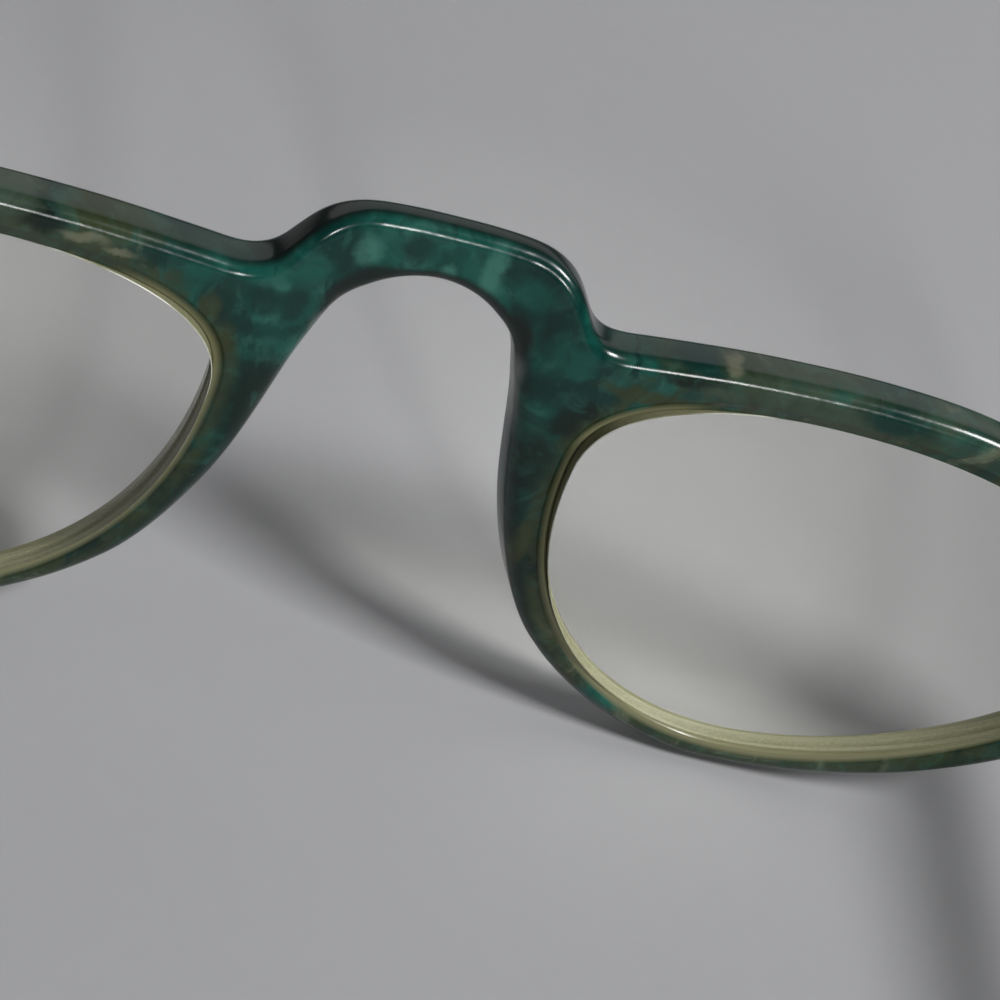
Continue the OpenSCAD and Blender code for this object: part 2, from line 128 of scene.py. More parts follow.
class LensSizes(bpy.types.PropertyGroup):
    """Sizes of the lenses."""
    thickness: length("Thickness", "Thickness of the lens at its middle", 3.3)
    outer_radius: length("Outer radius", "Radius of the outer lens surface", 85)
    inner_radius: length("Inner radius", "Radius of the inner lens surface across the lens", 104)
    upright_radius: length("Upright radius", "Radius of the inner lens surface from top to bottom", 360)
    gap: length("Gap", "Gap between lens edge and groove", 0.03)


class TempleSizes(bpy.types.PropertyGroup):
    """Sizes of the temples."""
    shaft: length("Shaft", "Straight length from the hinge to the ear bend", 92)
    root_height: length("Root height", "Height of the temple at the hinge", 8.4)
    bend_height: length("Bend height", "Height of the temple at the ear bend", 5)
    paddle_height: length("Paddle height", "Height of the paddle behind the ear", 8.2)
    root_thickness: length("Root thickness", "Thickness of the temple at the hinge", 3.5)
    tip_thickness: length("Tip thickness", "Thickness of the temple at its tip", 2.6)
    bend_radius: length("Bend radius", "Radius of the ear bend", 28)
    bend: turn("Bend", "Angle of the ear bend", 34)
    knuckle: length("Knuckle", "Diameter of the hinge knuckles", 2.8)


class Finishes(bpy.types.PropertyGroup):
    """Colours of the materials."""
    night: colour("Night green", "Near black clouds beside the nose", (0.002, 0.011, 0.007))
    # Painted light on the edges: a dark painted shade high up at the bridge, and a pale painted sheen lower
    # down beside the nose
    edge: colour("Painted edge shade", "Painted shade on the edges of the bridge", (0.006, 0.011, 0.009))
    flank: colour("Flank", "Painted sheen on the edges beside the nose", (0.27, 0.285, 0.27))
    deep: colour("Deep green", "Dark swirls of the acetate", (0.001, 0.031, 0.025))
    teal: colour("Teal", "Main colour of the acetate", (0.005, 0.08, 0.06))
    pale: colour("Pale teal", "Light clouds in the acetate", (0.045, 0.175, 0.135))
    olive: colour("Olive", "Brown green clouds along the rims", (0.034, 0.045, 0.017))
    sage: colour("Sage", "Grey green haze towards the end pieces", (0.05, 0.078, 0.052))
    tan: colour("Tan", "Light tan clouds along the rims", (0.16, 0.165, 0.105))
    khaki: colour("Khaki", "Bevel round the lenses", (0.21, 0.207, 0.115))
    lens: colour("Lens", "Tint of the lenses", (0.93, 0.93, 0.9))
    ground_edge: colour("Ground edge", "Matt edge of the lenses", (0.2, 0.2, 0.115))
    # Painted highlight along the inner edge of each lens
    arris_glint: colour("Arris", "Fine bright line where the lens edge meets its inner face", (0.55, 0.56, 0.48))
    metal: colour("Metal", "Hinges, rivets and screws", (0.74, 0.73, 0.7))
    floor: colour("Floor", "Pale floor", (0.39, 0.39, 0.4))


# Patches of the marbling in the photograph: finish, place across and up, half width, half height, in mm
PATCHES = [
    ("deep", 6.6, 34.5, 0.9, 2.6), ("pale", 5.2, 34, 1, 1.4), ("deep", 2.3, 35, 1.2, 1.3),
    ("pale", 0, 33.8, 0.7, 0.6), ("pale", -2.8, 34.4, 0.9, 2.2), ("deep", -7.4, 32.6, 0.8, 0.9),
    ("deep", 8.6, 29.8, 1, 1.9), ("teal", 8.2, 32.3, 1.1, 1.3), ("teal", -5.6, 33.8, 1.6, 1.3),
    ("teal", -9.4, 30.6, 1.9, 1.4), ("deep", 10.4, 29.9, 1.3, 1.2), ("deep", -8.6, 28, 2.4, 1.6),
    ("night", -9.6, 22.4, 1.7, 3.4), ("night", 9.2, 22, 2, 4.2), ("olive", -11.3, 15.4, 0.8, 2.6),
    ("teal", -21.4, 3.9, 2.2, 1.2), ("night", -10.7, 26, 1.2, 1.3), ("olive", -15, 29.5, 3.4, 0.6),
    ("night", -11.7, 27.2, 0.9, 1.1), ("teal", -14.4, 31.4, 0.8, 0.5), ("deep", -13.6, 31.2, 0.25, 0.9),
    ("night", -17.2, 31.4, 2.4, 0.6), ("deep", -17.4, 32.3, 2.2, 0.5), ("tan", -19.8, 32.9, 0.7, 0.6),
    ("sage", -19.6, 31.2, 1.6, 0.6), ("sage", -26, 32, 5.5, 1.2), ("deep", -31.3, 32.7, 3.2, 1.1),
    ("sage", 26.6, 33, 2, 1), ("olive", 21.2, 32.8, 2.2, 0.8), ("night", 24.6, 32.3, 1.6, 0.9),
    ("tan", 22, 31.7, 1.6, 0.4), ("tan", 19.5, 31.2, 1.5, 0.35), ("deep", 16.6, 31.5, 2.8, 1),
    ("teal", 14.9, 31, 1.2, 0.8), ("olive", 13.6, 28.4, 0.9, 1.3), ("olive", 12.4, 26.2, 1, 1.7)]


# The camera's place in millimetres, against the upright front, and the nearest thing it shows, in metres
CAMERA_PLACE = (32.4, 117.9, 91.8)
NEAREST = 0.005

# Soft lamps: name, place, width and height in metres, power in watts
LAMPS = [("lamp_main", (-0.54, 0.22, 0.85), 0.26, 0.26, 8.6),
         ("lamp_behind", (-0.17, 0.88, 0.45), 0.08, 0.18, 2.4),
         ("lamp_far", (-0.3, -1.05, 0.66), 2.6, 0.8, 3.5)]
ROOM_COLOUR = (0.9, 0.92, 0.95)
ROOM_STRENGTH = 0.07

# Half the width of the floor and its distance under the glasses, in metres
FLOOR_HALF = 1.6
FLOOR_GAP = 0.0001


class Stage(bpy.types.PropertyGroup):
    """Camera and light."""
    elevation: turn("Elevation", "Camera height over the front's own square view", 36)
    azimuth: turn("Azimuth", "Camera turn towards the wearer's left", 19.52)
    roll: turn("Roll", "Camera roll", 23.98)
    focal: FloatProperty(name="Focal length", description="Camera lens on a 36 mm sensor", default=82.8)
    light: FloatProperty(name="Light", description="Strength of all lamps", default=1.0)


def mix(a, b, t):
    """From a at 0 to b at 1."""
    return a + (b - a) * t


def smooth(low, high, x):
    """From 0 at low to 1 at high, with soft ends."""
    t = min(1, max(0, (x - low) / (high - low)))
    return t * t * (3 - 2 * t)


def gathered(share, power):
    """From 0 to 1, with steps that get finer towards 1."""
    return 1 - (1 - share) ** power


def flat(x, z):
    """A point of the front's drawing: across and up."""
    return Vector((x, z))


def spline(points, steps):
    """A soft curve through all points but the first and the last."""
    curve = []
    for a, b, c, d in zip(points, points[1:], points[2:], points[3:]):
        for step in range(steps):
            t = step / steps
            curve.append(0.5 * (2 * b + (c - a) * t + (2 * a - 5 * b + 4 * c - d) * t ** 2
                                + (3 * b - a - 3 * c + d) * t ** 3))
    curve.append(points[-2])
    return curve


def spread(path, count):
    """count + 1 points at even distances along a path."""
    marks = [0]
    for a, b in zip(path, path[1:]):
        marks.append(marks[-1] + (b - a).length)
    points = []
    place = 0
    for step in range(count + 1):
        want = marks[-1] * step / count
        while place < len(path) - 2 and marks[place + 1] < want:
            place += 1
        part = (want - marks[place]) / max(marks[place + 1] - marks[place], 1e-9)
        points.append(path[place].lerp(path[place + 1], part))
    return points


class FrontShape:
    """Outlines and surfaces of the front, in millimetres, upright, with the outer face towards -Y."""
    # Steps of the mesh and rounds of softening
    BAR_STEPS = 40
    RIM_STEPS = 340
    COLUMN_STEPS = 12
    FACE_STEPS = 12
    LENS_STEPS = 1600
    CURVE_STEPS = 24
    ROUND_STEPS = 8
    OUTLINE_SOFTENING = 6
    BAND_SOFTENING = 30
    # Corner radius of the end pieces, and how far behind the plate the hinges sit
    CORNER = 2.4
    SEAT_RISE = 0.4
    SEAT_GAP = 0.05

    def __init__(self, sizes):
        for name in sizes.__annotations__:
            if name != "lean":
                setattr(self, name, getattr(sizes, name) / MM)
        self.lean = sizes.lean
        self.half_w = self.lens_width / 2
        self.half_h = high = self.lens_height / 2
        self.nose_x = nose_x = self.bridge_width / 2
        self.temple_x = temple_x = nose_x + self.lens_width
        self.mid_x = nose_x + self.half_w
        self.half_front = temple_x + self.end_width
        self.top_x = top_x = nose_x + self.lens_width * 0.45
        low_x = nose_x + self.lens_width * 0.44
        self.nasal_z = nasal_z = high * 0.43
        outer_z = high * 0.19
        self.seat_y = self.face(self.half_front) + self.thickness / 2 + self.SEAT_RISE
        self.curves = [
            [flat(top_x, high), flat(mix(top_x, nose_x, 0.96), high),
             flat(nose_x, mix(nasal_z, high, 0.33)), flat(nose_x, nasal_z)],
            [flat(nose_x, nasal_z), flat(nose_x, mix(nasal_z, -high, 0.6)),
             flat(mix(low_x, nose_x, 0.54), -high), flat(low_x, -high)],
            [flat(low_x, -high), flat(mix(low_x, temple_x, 0.47), -high),
             flat(temple_x, mix(outer_z, -high, 0.44)), flat(temple_x, outer_z)],
            [flat(temple_x, outer_z), flat(temple_x, mix(outer_z, high, 0.56)),
             flat(mix(top_x, temple_x, 0.58), high), flat(top_x, high)]]

    def lens_point(self, turn_share):
        """(point, outward direction) on the lens shape: 0 top, 1 nose, 2 bottom, 3 temple side."""
        turn_share %= FULL_TURN
        a, b, c, d = self.curves[int(turn_share)]
        t = turn_share - int(turn_share)
        u = 1 - t
        point = u ** 3 * a + 3 * t * u ** 2 * b + 3 * t ** 2 * u * c + t ** 3 * d
        along = (u ** 2 * (b - a) + 2 * t * u * (c - b) + t ** 2 * (d - c)).normalized()
        return point, flat(along[1], -along[0])

    def face(self, x):
        """How far back the middle of the bent plate lies."""
        return self.face_radius - sqrt(self.face_radius ** 2 - x * x)

    def rear_y(self, x):
        """The plate's rear face: ahead of the rims at the bridge, level where the hinges sit."""
        recess = self.bridge_recess * (1 - smooth(4.6, 10.6, abs(x)))
        seat = smooth(self.temple_x + 0.8, self.temple_x + 2.5, abs(x))
        return mix(self.face(x) + self.thickness / 2 - recess, self.seat_y - self.SEAT_GAP, seat)

    def front_y(self, x):
        """The plate's outer face."""
        return self.face(x) - self.thickness / 2

    def draw_outline(self):
        """Draws the half at +X, from the top middle round the end piece to the arch, and mirrors it."""
        high, bridge, dip = self.half_h, self.bridge_height, self.valley
        end_top = self.hinge_height + self.end_height / 2
        end_low = self.hinge_height - self.end_height / 2
        rim = high + self.rim_top
        far = self.half_front
        corner = self.CORNER
        top = [flat(-3, bridge - 0.07), flat(0, bridge - 0.02), flat(3, bridge - 0.07),
               flat(6, bridge - 0.4), flat(8.1, bridge - 1.45), flat(9.5, mix(dip, bridge, 0.39)),
               flat(10.5, mix(dip, bridge, 0.12)), flat(12.2, dip), flat(15, dip + 0.32),
               flat(self.top_x - 9, rim - 0.42), flat(self.top_x, rim + 0.1),
               flat(self.top_x + 8, rim - 0.32), flat(self.temple_x - 7, mix(end_top, rim, 0.45)),
               flat(self.temple_x + 1, end_top + 0.35), flat(far - 6, end_top),
               flat(far - corner, end_top), flat(far + 1, end_top)]
        arch_z = bridge - self.bridge_bar
        low = [flat(-2.5, arch_z - 0.85), flat(0, arch_z - 0.3), flat(2.5, arch_z - 0.85),
               flat(4.5, arch_z - 2.15), flat(self.arch - 0.42, arch_z - 3.6),
               flat(self.arch + 0.4, arch_z - 6.1), flat(self.nose_x - 4.4, self.nasal_z + 2.6)]
        for t in (0.125, 0.3125, 0.5, 0.6875, 0.875):
            point, out = self.lens_point(1 + t)
            low.append(point + out * mix(3.45, self.rim_bottom, smooth(-0.15, 0.74, t)))
        for t in (0, 0.1875, 0.375, 0.5625, 0.6875):
            point, out = self.lens_point(2 + t)
            low.append(point + out * (self.rim_bottom + 1.1 * smooth(0.08, 0.62, t)))
        low += [flat(self.temple_x + 1.15, mix(-high, end_low, 0.64)),
                flat(self.temple_x + 2.5, end_low - 2), flat(self.temple_x + 4, end_low - 0.35),
                flat(far - 5.6, end_low), flat(far - corner, end_low), flat(far + 1, end_low)]
        arc = [flat(sin(a * pi / (2 * CORNER_STEPS)), cos(a * pi / (2 * CORNER_STEPS))) * corner
               for a in range(1, CORNER_STEPS)]
        path = spline(top, self.CURVE_STEPS)
        path += [flat(far - corner, end_top - corner) + step for step in arc]
        path += [flat(far, end_top - corner), flat(far, end_low + corner)]
        path += [flat(far - corner, end_low + corner) + flat(step.y, -step.x) for step in arc]
        path += reversed(spline(low, self.CURVE_STEPS))
        dip_x = self.nose_x + 1.5
        flank_z = self.nasal_z + 2
        underside = len(path) * 0.6
        dip_at = next(i for i, p in enumerate(path) if p.x > dip_x)
        flank_at = next(i for i, p in enumerate(path)
                        if i > underside and p.x < self.nose_x and p.y > flank_z)
        half = spread(path[:dip_at + 1], self.BAR_STEPS)[:-1]
        half += spread(path[dip_at:flank_at + 1], self.RIM_STEPS)[:-1]
        half += spread(path[flank_at:], self.BAR_STEPS)
        self.half_count = len(half) - 1
        outline = half + [flat(-p.x, p.y) for p in reversed(half[1:-1])]
        count = len(outline)
        for _ in range(self.OUTLINE_SOFTENING):
            outline = [(outline[i - 1] + 2 * p + outline[(i + 1) % count]) / 4
                       for i, p in enumerate(outline)]
        self.outline = outline
        self.inward = []
        for i in range(count):
            along = (outline[(i + 1) % count] - outline[i - 1]).normalized()
            self.inward.append(flat(along.y, -along.x))
        self.outermost = max(range(self.half_count), key=lambda i: outline[i].x)

    def edge_point(self, i, inset, rear, deep):
        """A point in from the outline by inset, and in from the rear or outer face by deep."""
        i %= len(self.outline)
        point = self.outline[i]
        mirrored = min(i, len(self.outline) - i)
        slant = 0
        if mirrored > self.outermost:
            x = abs(point.x)
            slant = self.flank_slant * smooth(4, 8.4, x) * (1 - smooth(10.5, 15, x))
        share = deep / self.thickness
        if rear:
            share = 1 - share
        point = point + self.inward[i] * (inset + slant * share)
        y = self.rear_y(point.x) - deep if rear else self.front_y(point.x) + deep
        return Vector((point.x, y, point.y))

    def match_lens(self):
        """For each point of the band round a lens, the lens point that faces it."""
        fine = self.LENS_STEPS
        self.lens_line = points_tree([self.lens_point(FULL_TURN * i / fine)[0] for i in range(fine)])
        self.arch_line = points_tree(self.outline[self.half_count - self.BAR_STEPS:self.half_count + 1])
        shares = []
        for i in range(self.BAR_STEPS, self.BAR_STEPS + self.RIM_STEPS + 1):
            share = FULL_TURN * self.lens_line.find(self.outline[i].to_3d())[1] / fine
            while shares and share > shares[-1] + 1:
                share -= FULL_TURN
            shares.append(share)
        end, turned = shares[-1], shares[0] - FULL_TURN
        steps = self.COLUMN_STEPS
        shares += [mix(end, turned, k / steps) for k in range(1, steps)]
        count = len(shares)
        for _ in range(self.BAND_SOFTENING):
            shares = [(shares[i - 1] + (FULL_TURN if i == 0 else 0) + 2 * share
                       + shares[(i + 1) % count] - (FULL_TURN if i == count - 1 else 0)) / 4
                      for i, share in enumerate(shares)]
        self.band = [self.lens_point(share) for share in shares]

    def from_lens(self, point):
        """Distance from the lens shape, for the colour round the openings."""
        return self.lens_line.find((abs(point.x), point.z, 0))[2]

    def from_arch(self, point):
        """Distance from the underside of the bridge."""
        return self.arch_line.find((abs(point.x), point.z, 0))[2]

    def beyond_lens(self, point):
        """Distance from the lens shape, below 0 inside it."""
        _, i, distance = self.lens_line.find((abs(point.x), point.z, 0))
        at, out = self.lens_point(FULL_TURN * i / self.LENS_STEPS)
        return copysign(distance, (flat(abs(point.x), point.z) - at).dot(out))

    def groove_back(self, point):
        """How far the lens groove lies behind the middle of the plate."""
        distance = (point - flat(self.mid_x, 0)).length
        return self.groove_shift * smooth(self.half_h * 0.95, self.half_w * 0.95, distance)


def points_tree(points):
    """A search tree for the nearest of these points."""
    tree = KDTree(len(points))
    for i, point in enumerate(points):
        tree.insert(point.to_3d(), i)
    tree.balance()
    return tree


def bent_sheet(bm, across, along, place):
    """A grid whose points are put in place one by one, as a sheet bent over a form; returns its faces."""
    made = bmesh.ops.create_grid(bm, x_segments=across, y_segments=along, size=0.5)
    faces = set()
    for vert in made["verts"]:
        i = round((vert.co.x + 0.5) * across)
        j = round((vert.co.y + 0.5) * along)
        vert.co = place(i, j)
        faces.update(vert.link_faces)
    return faces


def finished_piece(name, bm, standing, materials):
    """Closes the seams of a mesh, stands it in place and gives it its materials."""
    bmesh.ops.remove_doubles(bm, verts=bm.verts, dist=SAME_POINT)
    bmesh.ops.dissolve_degenerate(bm, edges=bm.edges, dist=SHORTEST_EDGE)
    bmesh.ops.transform(bm, matrix=standing, verts=bm.verts)
    bmesh.ops.recalc_face_normals(bm, faces=bm.faces)
    for face in bm.faces:
        face.smooth = True
    for edge in bm.edges:
        edge.smooth = len(edge.link_faces) == 2 and edge.calc_face_angle(0) < SHARP
    mesh = bpy.data.meshes.new(name)
    bm.to_mesh(mesh)
    bm.free()
    piece = bpy.data.objects.new(name, mesh)
    bpy.context.scene.collection.objects.link(piece)
    for material in materials:
        mesh.materials.append(material)
    return piece


def build_front(shape, standing, materials):
    """The acetate plate: two bands round the lenses, a bar across the bridge and one rounded edge."""
    shape.draw_outline()
    shape.match_lens()
    bm = bmesh.new()
    tint = bm.verts.layers.float.new("lens_edge")
    bevel = bm.verts.layers.float.new("lens_bevel")
    # Mask of painted shade and painted sheen on the edges
    cut = bm.verts.layers.float.new("cut_edge")
    half_t = shape.thickness / 2
    bar, rim, column, depth = shape.BAR_STEPS, shape.RIM_STEPS, shape.COLUMN_STEPS, shape.FACE_STEPS
    # Rings round a lens, rear to front: how far out, how far back, and share of the groove's shift
    lip_rings = [(0.2, half_t, 0), (0.1, half_t - 0.02, 0), (0.02, half_t - 0.08, 0),
                 (-shape.lip * 0.62, half_t - 0.15, 0), (-shape.lip * 0.9, half_t - 0.2, 0),
                 (-shape.lip, half_t - 0.3, 0), (-shape.lip, shape.groove, 1), (0.1, 0, 1),
                 (-shape.lip, -shape.groove, 1), (-shape.lip, 0.4 - half_t, 0),
                 (0.3 - shape.lip, -half_t, 0)]
    rings = len(lip_rings)

    def on_plate(point, rear):
        """The point moved onto the rear or outer face."""
        point.y = shape.rear_y(point.x) if rear else shape.front_y(point.x)
        return point

    def margin(i, rear):
        """Where the rear or outer face ends and the rounded edge starts."""
        return shape.edge_point(i, shape.rear_round if rear else shape.front_round, rear, 0)

    def outer(i, rear):
        """The outside of the band round a lens: the margin, closed by a line from arch to dip."""
        if i <= rim:
            return margin(bar + i, rear)
        return on_plate(margin(bar + rim, rear).lerp(margin(bar, rear), (i - rim) / column), rear)

    def inner(i, ring):
        """The inside of the band: a point of a ring round the lens."""
        out_by, back, share = lip_rings[ring]
        point, out = shape.band[i]
        spot = point + out * out_by
        return Vector((spot.x, shape.face(spot.x) + back + share * shape.groove_back(point), spot.y))

    def band(side):
        def place(i, j):
            i %= rim + column
            if j < depth:
                point = on_plate(outer(i, True).lerp(inner(i, 0), gathered(j / depth, 1.6)), True)
            elif j < depth + rings:
                point = inner(i, j - depth)
            else:
                part = 1 - (2 * depth + rings - 1 - j) / depth
                point = on_plate(inner(i, rings - 1).lerp(outer(i, False), part), False)
            return Vector((side * point.x, point.y, point.z))
        return place

    for side in (LEFT, RIGHT):
        bent_sheet(bm, rim + column, 2 * depth + rings - 1, band(side))

    def crossbar(rear):
        def place(i, j):
            step = i - bar
            low = margin(shape.half_count - abs(step), rear)
            point = on_plate(low.lerp(margin(abs(step), rear), j / column), rear)
            return Vector((copysign(point.x, step) if step else 0, point.y, point.z))
        return place

    for rear in (True, False):
        bent_sheet(bm, 2 * bar, column, crossbar(rear))

    def rounding(radius, rear):
        """The rings of a rounded edge, from the face to the flat of the edge."""
        turns = [a * pi / (2 * shape.ROUND_STEPS) for a in range(shape.ROUND_STEPS + 1)]
        return [(radius * (1 - sin(a)), rear, radius * (1 - cos(a))) for a in turns]

    edge_rings = rounding(shape.rear_round, True) + rounding(shape.front_round, False)[::-1]
    edge_faces = bent_sheet(bm, len(shape.outline), len(edge_rings) - 1,
                            lambda i, j: shape.edge_point(i, *edge_rings[j]))
    # Masks for the material: beside a lens, painted shade and painted sheen on the edges, and on the bevel
    # inside a rim
    for vert in bm.verts:
        vert[tint] = 1 - smooth(0.1, 2.2, shape.from_lens(vert.co))
        above = smooth(shape.nose_x + 5, shape.nose_x + 9, abs(vert.co.x)) * smooth(0, 8, vert.co.z)
        # Painted shade along the underside of the bridge's arch
        reach = 1.2 + 0.7 * max(smooth(2, 5, vert.co.x), smooth(-4.5, -6, vert.co.x))
        vert[cut] = smooth(reach, reach - 0.5, shape.from_arch(vert.co)) * smooth(7.4, 6.4, abs(vert.co.x))
        vert[bevel] = smooth(-0.05, -0.12, shape.beyond_lens(vert.co)) * (1 - above)
    # Painted shade and sheen on the flat of the rounded edge, weaker away from the bridge and gone at the
    # bottom
    for vert in {vert for face in edge_faces for vert in face.verts}:
        deep = min(shape.rear_y(vert.co.x) - vert.co.y, vert.co.y - shape.front_y(vert.co.x))
        weaker = mix(1, 0.3, smooth(10, 18, abs(vert.co.x)))
        shade_and_sheen = smooth(0.25, 0.8, deep) * weaker * smooth(6, 11, vert.co.z)
        vert[cut] = max(vert[cut], shade_and_sheen)
    return finished_piece("front_acetate", bm, standing, materials)


def build_lens(shape, sizes, side, standing, materials):
    """A curved lens with a matt ground edge and a bevel that sits in the groove."""
    bm = bmesh.new()
    around = 160
    across = 14
    edge_steps = 4
    thickness = sizes.thickness / MM
    outer_radius = sizes.outer_radius / MM
    inner_radius = sizes.inner_radius / MM
    upright_radius = sizes.upright_radius / MM
    slope = shape.mid_x / sqrt(shape.face_radius ** 2 - shape.mid_x ** 2)
    inset = shape.lip + sizes.gap / MM
    half_bevel = shape.groove - 0.08
    arris_out = 0.05
    arris_down = 0.07

    def sag(radius, distance):
        """How far a curved surface has fallen back at a distance from its middle."""
        return radius - sqrt(radius ** 2 - distance ** 2)

    set_back = sag(outer_radius, shape.half_w) - sag(shape.face_radius, shape.half_w) + shape.groove \
        - shape.groove_shift

    def surface(spot, rear):
        """A point of the inner or outer lens surface, from its place in the lens shape."""
        off = spot - flat(shape.mid_x, 0)
        y = shape.face(shape.mid_x) + slope * off.x - set_back
        if rear:
            y += thickness + sag(inner_radius, off.x) + sag(upright_radius, off.y)
        else:
            y += sag(outer_radius, off.length)
        return Vector((side * spot.x, y, spot.y))

    def at_edge(i):
        """(point of the lens shape, outward direction, point on the lens edge)."""
        point, out = shape.lens_point(FULL_TURN * (i % around) / around)
        return point, out, point - out * inset

    def lens_face(rear):
        def place(i, j):
            edge = at_edge(i)[2]
            return surface(flat(shape.mid_x, 0).lerp(edge, gathered(j / across, 1.15)), rear)
        return place

    def edge_band(i, j):
        """The edge from the inner surface over the bevel, at j 2, to the outer surface."""
        point, out, edge = at_edge(i)
        if j == 0:
            return surface(edge + out * arris_out, True) - Vector((0, arris_down, 0))
        if j == edge_steps:
            return surface(edge, False)
        spot = point if j == 2 else edge
        back = shape.face(spot.x) + shape.groove_back(point) + (0, half_bevel, 0, -half_bevel)[j]
        return Vector((side * spot.x, back, spot.y))

    def arris_glint(i, j):
        """The narrow slant between the edge and the inner surface, which carries the painted highlight."""
        return edge_band(i, 0) if j == 1 else surface(at_edge(i)[2], True)

    bent_sheet(bm, around, across, lens_face(True))
    bent_sheet(bm, around, across, lens_face(False))
    for face in bent_sheet(bm, around, edge_steps, edge_band):
        face.material_index = 1
    # The slant gets the painted highlight
    for face in bent_sheet(bm, around, 1, arris_glint):
        face.material_index = 2
    return finished_piece("lens_" + SIDE_NAMES[side] + "_clear", bm, standing, materials)


class TempleShape:
    """The temple's path and sections, in millimetres, along +Y from the hinge."""
    BEND_THICKNESS = 3.1
    HINGE_INSET = 3.3
    KNUCKLE_GAP = 0.1
    FRONT_GAP = 0.12
    ROOT_BEVEL = 0.12
    TIP_LENGTH = 0.8

    def __init__(self, shape, sizes):
        for name in sizes.__annotations__:
            if name != "bend":
                setattr(self, name, getattr(sizes, name) / MM)
        self.bend = sizes.bend
        self.inner_x = shape.half_front - self.HINGE_INSET
        self.axis_y = shape.seat_y + self.knuckle / 2 + self.KNUCKLE_GAP
        self.cut_y = shape.seat_y + self.FRONT_GAP
        self.middle_x = self.inner_x + self.root_thickness / 2
        self.hinge_z = shape.hinge_height
        stand = (self.hinge_z + shape.half_h + shape.rim_bottom) * cos(shape.lean) \
            + self.axis_y * sin(shape.lean)
        self.tip = self.paddle_height / 2
        # How far the rounded tip reaches down (low) and back (rear), and the bridge ahead (ahead)
        low = self.tip * (cos(self.bend) * 0.93 + 0.36 * sin(self.bend)) - 0.13
        self.ear = (stand - low - self.bend_radius * (1 - cos(self.bend))) / sin(self.bend)
        self.bend_length = self.bend_radius * self.bend
        self.total = self.shaft + self.bend_length + self.ear
        rear = self.axis_y * cos(shape.lean) - self.hinge_z * sin(shape.lean) + self.along(self.total)[0] \
            + self.tip * (self.TIP_LENGTH * cos(self.bend) + 0.355 * sin(self.bend))
        ahead = -shape.thickness / 2 * cos(shape.lean) - (shape.bridge_height - 0.85) * sin(shape.lean)
        self.middle = -(ahead + rear) / 2

    def along(self, s):
        """(distance back, height, angle) at a distance along the temple."""
        angle = min(max(s - self.shaft, 0) / self.bend_radius, self.bend)
        rest = max(s - self.shaft - self.bend_length, 0)
        back = min(s, self.shaft) + self.bend_radius * sin(angle) + rest * cos(angle)
        return back, -self.bend_radius * (1 - cos(angle)) - rest * sin(angle), angle

    def height(self, s):
        """Height of the section at a distance along the temple."""
        shaft = mix(self.root_height, self.bend_height, smooth(self.shaft * 0.04, self.shaft * 0.57, s))
        return mix(shaft, self.paddle_height, smooth(self.shaft, self.total - 6, s))

    def width(self, s):
        """Thickness of the section at a distance along the temple."""
        slim = smooth(self.shaft * 0.15, self.shaft * 0.76, s)
        shaft = mix(self.root_thickness, self.BEND_THICKNESS, slim)
        return mix(shaft, self.tip_thickness, smooth(self.shaft, self.total, s))

    def point(self, turn_share, s, wide, high):
        """A point of the rounded section at a distance along the temple, smaller at the tip."""
        back, height, angle = self.along(s)
        turn_angle = turn_share * 2 * pi
        x = copysign(abs(cos(turn_angle)) ** 0.55, cos(turn_angle)) * self.width(s) * wide / 2
        # The inner side is a little flatter where the hinge leaf lies
        if x < 0:
            x *= mix(0.97, 1, smooth(10, 14, s))
        z = copysign(abs(sin(turn_angle)) ** 0.6, sin(turn_angle)) * self.height(s) * high / 2
        return Vector((x, back + z * sin(angle), height + z * cos(angle)))


def build_temple(shape, temple, side, standing, materials):
    """A slim temple that bends down behind the ear into a rounded paddle."""
    bm = bmesh.new()
    around = 56
    along = 72
    start = -5
    # Each stop: distance along the temple, and how wide and high the section is there
    stops = [(start + (temple.total - start) * i / along, 1, 1) for i in range(along + 1)]
    for i in range(1, CORNER_STEPS):
        a = i * pi / (2 * CORNER_STEPS)
        stops.append((temple.total + temple.tip * temple.TIP_LENGTH * sin(a), mix(cos(a), 1, 0.45), cos(a)))
    stops.append((temple.total + temple.tip * 0.82, 0, 0))
    bent_sheet(bm, around, len(stops) - 1,
               lambda i, j: temple.point((i % around + 0.5) / around, *stops[j]))
    place = Matrix.Translation((temple.middle_x, temple.axis_y, temple.hinge_z)) \
        @ Matrix.Rotation(-shape.lean, 4, "X")
    bmesh.ops.remove_doubles(bm, verts=bm.verts, dist=SAME_POINT)
    bmesh.ops.transform(bm, matrix=place, verts=bm.verts)
    cut = bmesh.ops.bisect_plane(bm, geom=bm.verts[:] + bm.edges[:] + bm.faces[:],
                                 plane_co=(0, temple.cut_y, 0), plane_no=(0, 1, 0), clear_inner=True)
    rim = [item for item in cut["geom_cut"] if isinstance(item, bmesh.types.BMEdge)]
    bmesh.ops.edgeloop_fill(bm, edges=rim)
    bmesh.ops.bevel(bm, geom=rim, offset=temple.ROOT_BEVEL, segments=3, profile=0.5, affect="EDGES",
                    material=-1)
    if side == RIGHT:
        bmesh.ops.scale(bm, vec=(-1, 1, 1), verts=bm.verts)
    return finished_piece("temple_" + SIDE_NAMES[side] + "_acetate", bm, standing, materials)


